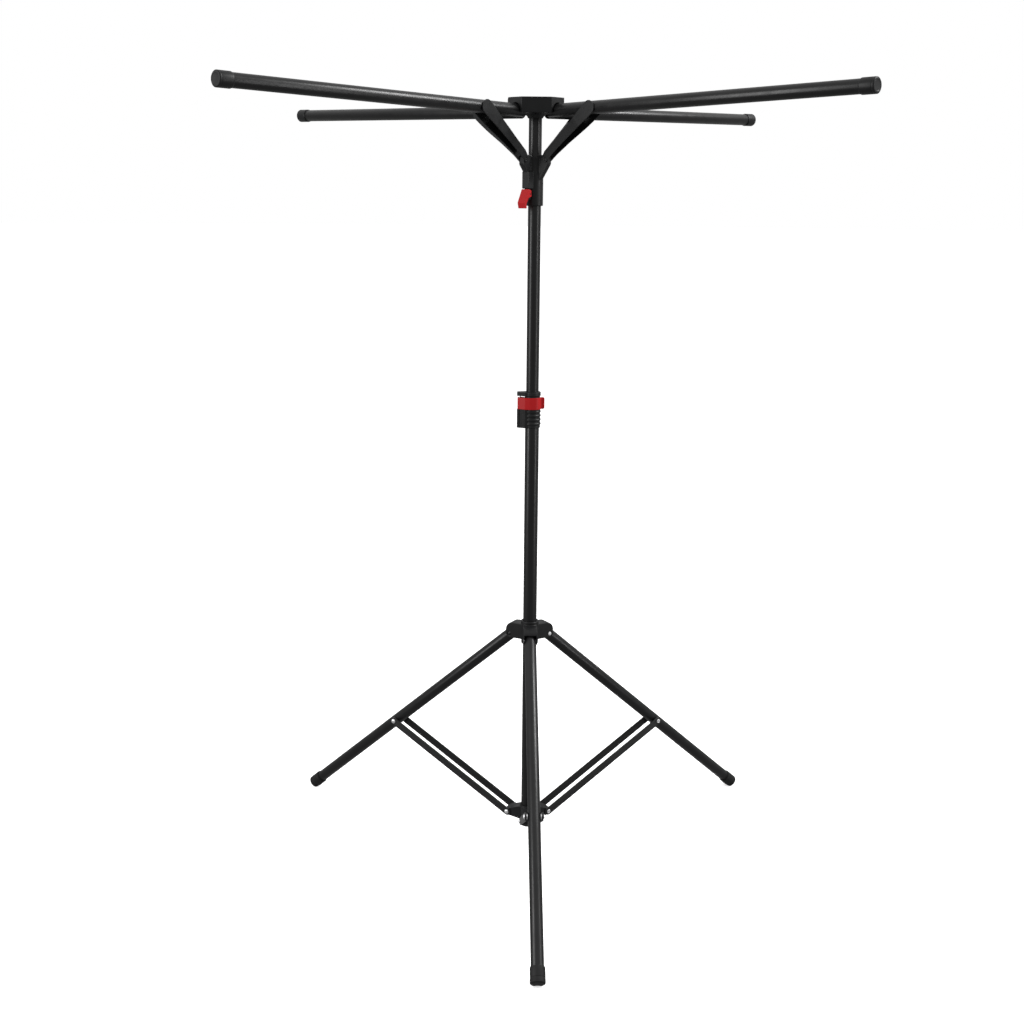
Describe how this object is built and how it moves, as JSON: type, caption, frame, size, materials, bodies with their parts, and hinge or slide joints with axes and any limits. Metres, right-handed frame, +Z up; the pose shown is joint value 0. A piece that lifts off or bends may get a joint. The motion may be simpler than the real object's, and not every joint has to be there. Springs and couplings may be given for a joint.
{
  "type": "folding four-arm tripod rack",
  "caption": "Telescoping steel mast on a folding tripod, with level tube arms that fold down like an umbrella on struts and a sliding runner, a red height clamp lever and a red latch trigger.",
  "frame": {"origin": "on the mast's axis at floor level, under the centre of the lower hub", "axes": "+Z up the mast; +X and +Y along two of the four open arms, so one leg stands at -45 degrees from +X"},
  "size_m": [1.4434, 1.4434, 1.5357],
  "materials": {
    "black_tube": "satin black powder coat on round steel tube",
    "black_bar": "satin black powder coat on flat steel bar",
    "black_plastic": "moulded black nylon with a fine grain",
    "black_rubber": "soft black rubber foot caps",
    "red_plastic": "smooth moulded red plastic",
    "bright_steel": "zinc-plated rivets and pins"
  },
  "bodies": {
    "base": {"lower_pole": "black_tube", "lower_hub": "black_plastic", "clamp_body": "black_plastic", "clamp_pin": "bright_steel", "hub_rivet_front": "bright_steel", "hub_rivet_right": "bright_steel", "hub_rivet_left": "bright_steel"},
    "mast": {"upper_pole": "black_tube", "pole_bush": "black_plastic", "top_hub": "black_plastic", "arm_pin_px": "bright_steel", "arm_pin_py": "bright_steel", "arm_pin_nx": "bright_steel", "arm_pin_ny": "bright_steel"},
    "runner": {"runner": "black_plastic", "trigger_pin": "black_plastic", "strut_pin_px": "black_plastic", "strut_pin_py": "black_plastic", "strut_pin_nx": "black_plastic", "strut_pin_ny": "black_plastic"},
    "trigger": {"trigger": "red_plastic"},
    "clamp_lever": {"clamp_lever": "red_plastic"},
    "crown": {"crown": "black_plastic", "crown_pin_front": "bright_steel", "crown_pin_right": "bright_steel", "crown_pin_left": "bright_steel"},
    "crown_knob": {"crown_lock_knob": "black_plastic"},
    "arm_px": {"arm_px": "black_tube", "arm_cap_px": "black_plastic"},
    "strut_px": {"strut_px": "black_plastic"},
    "arm_py": {"arm_py": "black_tube", "arm_cap_py": "black_plastic"},
    "strut_py": {"strut_py": "black_plastic"},
    "arm_nx": {"arm_nx": "black_tube", "arm_cap_nx": "black_plastic"},
    "strut_nx": {"strut_nx": "black_plastic"},
    "arm_ny": {"arm_ny": "black_tube", "arm_cap_ny": "black_plastic"},
    "strut_ny": {"strut_ny": "black_plastic"},
    "leg_front": {"leg_front": "black_tube", "foot_cap_front": "black_rubber"},
    "brace_front": {"brace_bar_front_a": "black_bar", "brace_bar_front_b": "black_bar", "leg_rivet_front_head": "bright_steel", "leg_rivet_front_tail": "bright_steel"},
    "leg_right": {"leg_right": "black_tube", "foot_cap_right": "black_rubber"},
    "brace_right": {"brace_bar_right_a": "black_bar", "brace_bar_right_b": "black_bar", "leg_rivet_right_head": "bright_steel", "leg_rivet_right_tail": "bright_steel"},
    "leg_left": {"leg_left": "black_tube", "foot_cap_left": "black_rubber"},
    "brace_left": {"brace_bar_left_a": "black_bar", "brace_bar_left_b": "black_bar", "leg_rivet_left_head": "bright_steel", "leg_rivet_left_tail": "bright_steel"}
  },
  "joints": [
    {"name": "mast_slide", "type": "slide", "parent": "base", "child": "mast", "axis": [0, 0, 1], "range_m": [-0.2, 0.2]},
    {"name": "runner_slide", "type": "slide", "parent": "mast", "child": "runner", "axis": [0, 0, -1], "range_m": [0, 0.1468]},
    {"name": "crown_slide", "type": "slide", "parent": "base", "child": "crown", "axis": [0, 0, 1], "range_m": [0, 0.3054]},
    {"name": "clamp_lever_hinge", "type": "hinge", "parent": "base", "child": "clamp_lever", "pos_m": [-0.01732, -0.01732, 0.94815], "axis": [0, 0, -1], "range_deg": [0, 150]},
    {"name": "trigger_hinge", "type": "hinge", "parent": "runner", "child": "trigger", "pos_m": [0, -0.0215, 1.354], "axis": [1, 0, 0], "range_deg": [0, 12], "stiffness_Nm_per_rad": 0.2, "springref_deg": -20.05},
    {"name": "crown_knob_hinge", "type": "hinge", "parent": "crown", "child": "crown_knob", "pos_m": [-0.02546, 0.02546, 0.472], "axis": [-0.7071, 0.7071, 0], "continuous": true},
    {"name": "arm_hinge_px", "type": "hinge", "parent": "mast", "child": "arm_px", "pos_m": [0.044, 0, 1.50766], "axis": [0, 1, 0], "range_deg": [0, 84]},
    {"name": "strut_hinge_px", "type": "hinge", "parent": "runner", "child": "strut_px", "pos_m": [0.032, 0, 1.41895], "axis": [0, -1, 0], "range_deg": [0, 41.23]},
    {"name": "arm_hinge_py", "type": "hinge", "parent": "mast", "child": "arm_py", "pos_m": [0, 0.044, 1.50766], "axis": [-1, 0, 0], "range_deg": [0, 84]},
    {"name": "strut_hinge_py", "type": "hinge", "parent": "runner", "child": "strut_py", "pos_m": [0, 0.032, 1.41895], "axis": [1, 0, 0], "range_deg": [0, 41.23]},
    {"name": "arm_hinge_nx", "type": "hinge", "parent": "mast", "child": "arm_nx", "pos_m": [-0.044, 0, 1.50766], "axis": [0, -1, 0], "range_deg": [0, 84]},
    {"name": "strut_hinge_nx", "type": "hinge", "parent": "runner", "child": "strut_nx", "pos_m": [-0.032, 0, 1.41895], "axis": [0, 1, 0], "range_deg": [0, 41.23]},
    {"name": "arm_hinge_ny", "type": "hinge", "parent": "mast", "child": "arm_ny", "pos_m": [0, -0.044, 1.50766], "axis": [1, 0, 0], "range_deg": [0, 84]},
    {"name": "strut_hinge_ny", "type": "hinge", "parent": "runner", "child": "strut_ny", "pos_m": [0, -0.032, 1.41895], "axis": [-1, 0, 0], "range_deg": [0, 41.23]},
    {"name": "leg_hinge_front", "type": "hinge", "parent": "crown", "child": "leg_front", "pos_m": [0.02899, -0.02899, 0.4625], "axis": [0.7071, 0.7071, 0], "range_deg": [0, 45.12]},
    {"name": "brace_hinge_front", "type": "hinge", "parent": "base", "child": "brace_front", "pos_m": [0.0297, -0.0297, 0.0635], "axis": [-0.7071, -0.7071, 0], "range_deg": [0, 58.14]},
    {"name": "leg_hinge_right", "type": "hinge", "parent": "crown", "child": "leg_right", "pos_m": [0.01061, 0.0396, 0.4625], "axis": [-0.9659, 0.2588, 0], "range_deg": [0, 45.12]},
    {"name": "brace_hinge_right", "type": "hinge", "parent": "base", "child": "brace_right", "pos_m": [0.01087, 0.04057, 0.0635], "axis": [0.9659, -0.2588, 0], "range_deg": [0, 58.14]},
    {"name": "leg_hinge_left", "type": "hinge", "parent": "crown", "child": "leg_left", "pos_m": [-0.0396, -0.01061, 0.4625], "axis": [0.2588, -0.9659, 0], "range_deg": [0, 45.12]},
    {"name": "brace_hinge_left", "type": "hinge", "parent": "base", "child": "brace_left", "pos_m": [-0.04057, -0.01087, 0.0635], "axis": [-0.2588, 0.9659, 0], "range_deg": [0, 58.14]}
  ],
  "couplings": [
    {"joint": "arm_hinge_px", "follows": "runner_slide", "rad_per_m": 9.9831},
    {"joint": "strut_hinge_px", "follows": "runner_slide", "rad_per_m": 4.8991},
    {"joint": "arm_hinge_py", "follows": "runner_slide", "rad_per_m": 9.9831},
    {"joint": "strut_hinge_py", "follows": "runner_slide", "rad_per_m": 4.8991},
    {"joint": "arm_hinge_nx", "follows": "runner_slide", "rad_per_m": 9.9831},
    {"joint": "strut_hinge_nx", "follows": "runner_slide", "rad_per_m": 4.8991},
    {"joint": "arm_hinge_ny", "follows": "runner_slide", "rad_per_m": 9.9831},
    {"joint": "strut_hinge_ny", "follows": "runner_slide", "rad_per_m": 4.8991},
    {"joint": "leg_hinge_front", "follows": "crown_slide", "rad_per_m": 2.5777},
    {"joint": "brace_hinge_front", "follows": "crown_slide", "rad_per_m": 3.3215},
    {"joint": "leg_hinge_right", "follows": "crown_slide", "rad_per_m": 2.5777},
    {"joint": "brace_hinge_right", "follows": "crown_slide", "rad_per_m": 3.3215},
    {"joint": "leg_hinge_left", "follows": "crown_slide", "rad_per_m": 2.5777},
    {"joint": "brace_hinge_left", "follows": "crown_slide", "rad_per_m": 3.3215}
  ]
}
